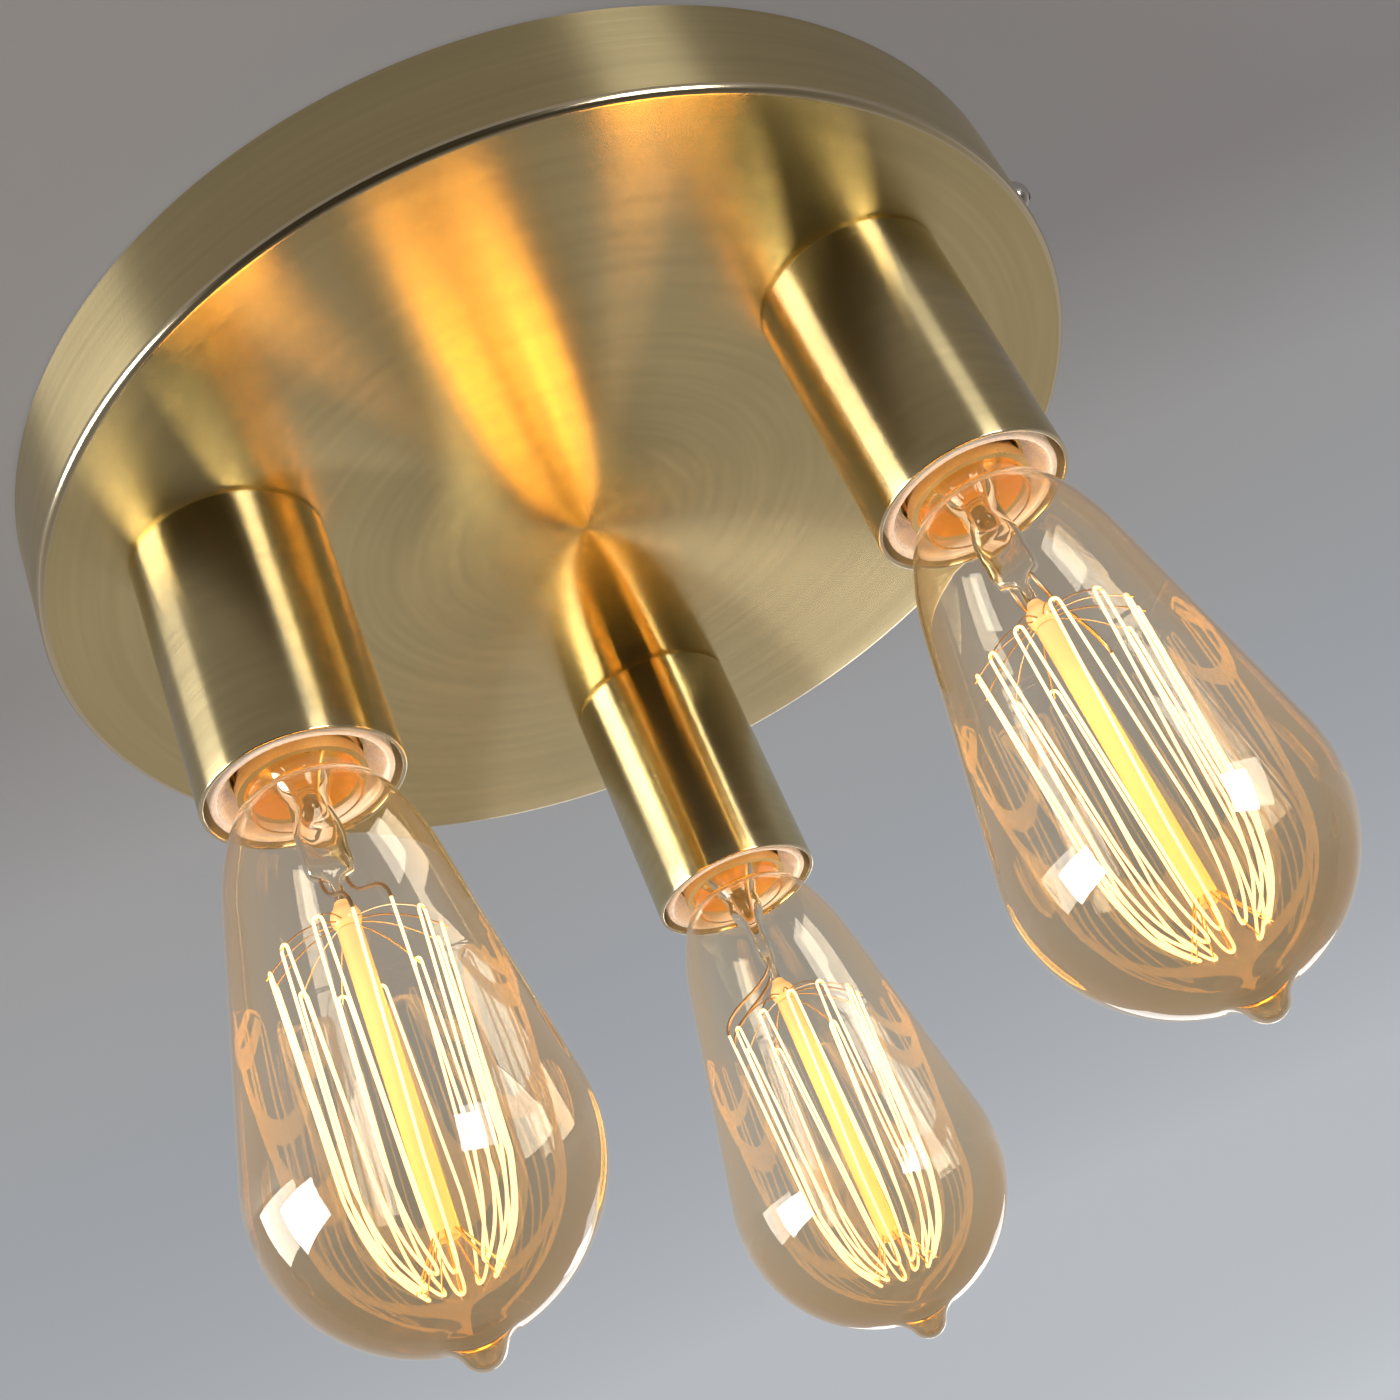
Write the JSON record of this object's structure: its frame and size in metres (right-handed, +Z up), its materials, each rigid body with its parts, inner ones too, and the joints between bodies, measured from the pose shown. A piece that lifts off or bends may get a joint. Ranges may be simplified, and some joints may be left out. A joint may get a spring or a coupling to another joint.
{
  "type": "ceiling light",
  "caption": "Semi flush brass ceiling light: a shallow round pan on a hidden strap, with downward cups holding screw-in pear-shaped filament bulbs.",
  "frame": {"origin": "centre of the ceiling plane, midway between the two ceiling screw slots, on the strap's upper face", "axes": "+Z up into the ceiling; +X along the fixing strap towards the side screw nearest the right-hand lamp"},
  "size_m": [0.2488, 0.244, 0.205],
  "materials": {
    "satin_brass": "satin, turned brushing, clear lacquer",
    "zinc_steel": "zinc plated",
    "nickel": "nickel plated",
    "nut_brass": "machined",
    "porcelain": "glazed white porcelain",
    "contact_brass": "pressed, bright",
    "cap_brass": "pressed thin brass",
    "amber_glass": "clear with a light amber tint",
    "stem_glass": "clear",
    "black_glass": "gloss black",
    "solder": "dull solder",
    "support_wire": "drawn wire",
    "filament": "glowing carbon thread",
    "brown_insulation": "smooth",
    "blue_insulation": "smooth",
    "green_insulation": "smooth, yellow stripe",
    "block_plastic": "moulded"
  },
  "bodies": {
    "fixture": {"ceiling_plate": "satin_brass", "mounting_strap": "zinc_steel", "side_screws": "nickel", "earth_screw": "zinc_steel", "earth_tag": "contact_brass", "earth_lead": "green_insulation", "terminal_block": "block_plastic", "terminal_screws": "zinc_steel", "nipple_nuts": "nut_brass", "nipple_washers": "zinc_steel", "shell_rivets": "contact_brass", "cup_right": "satin_brass", "nipple_right": "zinc_steel", "holder_hub_right": "zinc_steel", "lampholder_right": "porcelain", "screw_shell_right": "contact_brass", "centre_contact_right": "contact_brass", "live_lead_right": "brown_insulation", "neutral_lead_right": "blue_insulation", "cup_rear": "satin_brass", "nipple_rear": "zinc_steel", "holder_hub_rear": "zinc_steel", "lampholder_rear": "porcelain", "screw_shell_rear": "contact_brass", "centre_contact_rear": "contact_brass", "live_lead_rear": "brown_insulation", "neutral_lead_rear": "blue_insulation", "cup_left": "satin_brass", "nipple_left": "zinc_steel", "holder_hub_left": "zinc_steel", "lampholder_left": "porcelain", "screw_shell_left": "contact_brass", "centre_contact_left": "contact_brass", "live_lead_left": "brown_insulation", "neutral_lead_left": "blue_insulation"},
    "bulb_base_right": {"bulb_insulator_right": "black_glass", "bulb_tip_contact_right": "solder"},
    "bulb_right": {"bulb_glass_right": "amber_glass", "bulb_cap_right": "cap_brass", "bulb_stem_right": "stem_glass", "bulb_lead_wires_right": "support_wire", "bulb_supports_right": "support_wire", "bulb_filament_right": "filament"},
    "bulb_base_rear": {"bulb_insulator_rear": "black_glass", "bulb_tip_contact_rear": "solder"},
    "bulb_rear": {"bulb_glass_rear": "amber_glass", "bulb_cap_rear": "cap_brass", "bulb_stem_rear": "stem_glass", "bulb_lead_wires_rear": "support_wire", "bulb_supports_rear": "support_wire", "bulb_filament_rear": "filament"},
    "bulb_base_left": {"bulb_insulator_left": "black_glass", "bulb_tip_contact_left": "solder"},
    "bulb_left": {"bulb_glass_left": "amber_glass", "bulb_cap_left": "cap_brass", "bulb_stem_left": "stem_glass", "bulb_lead_wires_left": "support_wire", "bulb_supports_left": "support_wire", "bulb_filament_left": "filament"}
  },
  "joints": [
    {"name": "bulb_drop_right", "type": "slide", "parent": "fixture", "child": "bulb_base_right", "axis": [0, 0, -1], "range_m": [0, 0.01267]},
    {"name": "bulb_turn_right", "type": "hinge", "parent": "bulb_base_right", "child": "bulb_right", "pos_m": [0.08071, -0.01938, -0.0865], "axis": [0, 0, -1], "range_deg": [0, 1260]},
    {"name": "bulb_drop_rear", "type": "slide", "parent": "fixture", "child": "bulb_base_rear", "axis": [0, 0, -1], "range_m": [0, 0.01267]},
    {"name": "bulb_turn_rear", "type": "hinge", "parent": "bulb_base_rear", "child": "bulb_rear", "pos_m": [-0.02357, 0.07958, -0.0865], "axis": [0, 0, -1], "range_deg": [0, 1260]},
    {"name": "bulb_drop_left", "type": "slide", "parent": "fixture", "child": "bulb_base_left", "axis": [0, 0, -1], "range_m": [0, 0.01267]},
    {"name": "bulb_turn_left", "type": "hinge", "parent": "bulb_base_left", "child": "bulb_left", "pos_m": [-0.05713, -0.06021, -0.0865], "axis": [0, 0, -1], "range_deg": [0, 1260]}
  ],
  "couplings": [
    {"joint": "bulb_drop_right", "follows": "bulb_turn_right", "m_per_rad": 0.00057614},
    {"joint": "bulb_drop_rear", "follows": "bulb_turn_rear", "m_per_rad": 0.00057614},
    {"joint": "bulb_drop_left", "follows": "bulb_turn_left", "m_per_rad": 0.00057614}
  ]
}
